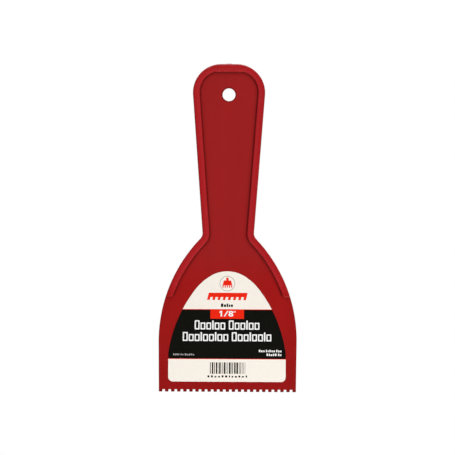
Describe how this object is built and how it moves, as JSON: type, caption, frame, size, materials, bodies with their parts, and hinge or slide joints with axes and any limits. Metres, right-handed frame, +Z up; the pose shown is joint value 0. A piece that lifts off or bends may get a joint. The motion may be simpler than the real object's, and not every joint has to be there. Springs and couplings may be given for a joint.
{
  "type": "square-notch adhesive spreader",
  "caption": "One-piece moulded plastic trowel with a flat rimmed handle, a hanging hole and a blade with a row of square notches, for spreading adhesive.",
  "frame": {"origin": "centre of the hanging hole, halfway through the web", "axes": "+Z up towards the top of the handle with the teeth at the bottom, -Y the labelled front face, +X to the right when the label is read"},
  "size_m": [0.1024, 0.005, 0.2431],
  "materials": {
    "moulded_plastic": "satin injection-moulded red plastic with faint flow marks",
    "label_sheet": "coated label stock, printed in black, orange-red and cream",
    "label_adhesive": "clear pressure-sensitive adhesive"
  },
  "bodies": {
    "root": {"spreader_body": "moulded_plastic", "label_sheet": "label_sheet", "label_adhesive": "label_adhesive"}
  },
  "joints": []
}
